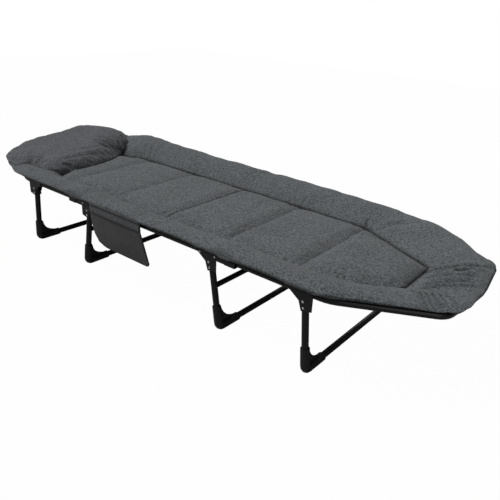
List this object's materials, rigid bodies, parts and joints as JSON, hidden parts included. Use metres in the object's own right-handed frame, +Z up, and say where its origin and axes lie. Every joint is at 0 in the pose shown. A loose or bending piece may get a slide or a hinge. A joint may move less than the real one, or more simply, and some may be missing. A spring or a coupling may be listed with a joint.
{
  "type": "folding camp bed",
  "caption": "Low folding camp bed: padded quilted cover with a sewn-on pillow and side pocket, on a hinged steel tube frame with folding U-shaped leg frames.",
  "frame": {"origin": "on the floor under the middle of the bed", "axes": "+Z up, +X towards the foot end, -Y towards the side with the pocket"},
  "size_m": [1.872, 0.6556, 0.3271],
  "materials": {
    "black_powder_coat": "black powder coat with a low gloss",
    "black_plastic": "matt moulded plastic",
    "rivet_steel": "bright zinc-plated steel",
    "grey_cover_cloth": "dark grey heathered woven cloth over wadding",
    "dark_pocket_cloth": "smooth dark woven cloth",
    "black_bed_cloth": "plain black woven cloth"
  },
  "bodies": {
    "centre_section": {"centre_rail_near": "black_powder_coat", "centre_rail_far": "black_powder_coat", "foot_fold_bracket_near": "black_powder_coat", "foot_fold_bracket_far": "black_powder_coat", "head_fold_bracket_near": "black_powder_coat", "head_fold_bracket_far": "black_powder_coat", "foot_fold_pin_near": "rivet_steel", "foot_fold_pin_far": "rivet_steel", "head_fold_pin_near": "rivet_steel", "head_fold_pin_far": "rivet_steel", "centre_bed_cloth": "black_bed_cloth", "centre_cover": "grey_cover_cloth", "pocket_back": "dark_pocket_cloth", "pocket_front": "dark_pocket_cloth"},
    "foot_section": {"foot_end_frame": "black_powder_coat", "foot_bed_cloth": "black_bed_cloth", "foot_cover": "grey_cover_cloth", "foot_fold_leaf_near": "black_powder_coat", "foot_fold_leaf_far": "black_powder_coat", "foot_leg_bracket_near": "black_powder_coat", "foot_leg_bracket_far": "black_powder_coat"},
    "head_section": {"head_end_frame": "black_powder_coat", "head_bed_cloth": "black_bed_cloth", "head_cover": "grey_cover_cloth", "head_fold_leaf_near": "black_powder_coat", "head_fold_leaf_far": "black_powder_coat", "head_leg_bracket_near": "black_powder_coat", "head_leg_bracket_far": "black_powder_coat", "pillow": "grey_cover_cloth"},
    "foot_inner_leg_frame": {"foot_inner_leg_tube_near": "black_powder_coat", "foot_inner_leg_tube_far": "black_powder_coat", "foot_inner_leg_pin_near": "rivet_steel", "foot_inner_leg_pin_far": "rivet_steel", "foot_inner_leg_corner_near": "black_plastic", "foot_inner_leg_corner_far": "black_plastic", "foot_inner_leg_base_tube": "black_powder_coat", "foot_inner_leg_brace": "black_powder_coat"},
    "foot_outer_leg_frame": {"foot_outer_leg_tube_near": "black_powder_coat", "foot_outer_leg_tube_far": "black_powder_coat", "foot_outer_leg_pin_near": "rivet_steel", "foot_outer_leg_pin_far": "rivet_steel", "foot_outer_leg_corner_near": "black_plastic", "foot_outer_leg_corner_far": "black_plastic", "foot_outer_leg_base_tube": "black_powder_coat"},
    "head_inner_leg_frame": {"head_inner_leg_tube_near": "black_powder_coat", "head_inner_leg_tube_far": "black_powder_coat", "head_inner_leg_pin_near": "rivet_steel", "head_inner_leg_pin_far": "rivet_steel", "head_inner_leg_corner_near": "black_plastic", "head_inner_leg_corner_far": "black_plastic", "head_inner_leg_base_tube": "black_powder_coat", "head_inner_leg_brace": "black_powder_coat"},
    "head_outer_leg_frame": {"head_outer_leg_tube_near": "black_powder_coat", "head_outer_leg_tube_far": "black_powder_coat", "head_outer_leg_pin_near": "rivet_steel", "head_outer_leg_pin_far": "rivet_steel", "head_outer_leg_corner_near": "black_plastic", "head_outer_leg_corner_far": "black_plastic", "head_outer_leg_base_tube": "black_powder_coat"}
  },
  "joints": [
    {"name": "head_fold", "type": "hinge", "parent": "centre_section", "child": "head_section", "pos_m": [-0.338, 0, 0.258], "axis": [0, 1, 0], "range_deg": [0, 179.5], "deforming": ["head_cover", "centre_cover", "pillow"]},
    {"name": "foot_fold", "type": "hinge", "parent": "centre_section", "child": "foot_section", "pos_m": [0.338, 0, 0.258], "axis": [0, -1, 0], "range_deg": [0, 165], "deforming": ["foot_cover"]},
    {"name": "head_inner_leg_fold", "type": "hinge", "parent": "centre_section", "child": "head_inner_leg_frame", "pos_m": [-0.277, 0, 0.2145], "axis": [0, -1, 0], "range_deg": [0, 94.5]},
    {"name": "foot_inner_leg_fold", "type": "hinge", "parent": "centre_section", "child": "foot_inner_leg_frame", "pos_m": [0.277, 0, 0.2145], "axis": [0, 1, 0], "range_deg": [0, 94.5]},
    {"name": "head_outer_leg_fold", "type": "hinge", "parent": "head_section", "child": "head_outer_leg_frame", "pos_m": [-0.593, 0, 0.2145], "axis": [0, -1, 0], "range_deg": [0, 90.5]},
    {"name": "foot_outer_leg_fold", "type": "hinge", "parent": "foot_section", "child": "foot_outer_leg_frame", "pos_m": [0.593, 0, 0.2145], "axis": [0, 1, 0], "range_deg": [0, 90.5]}
  ]
}
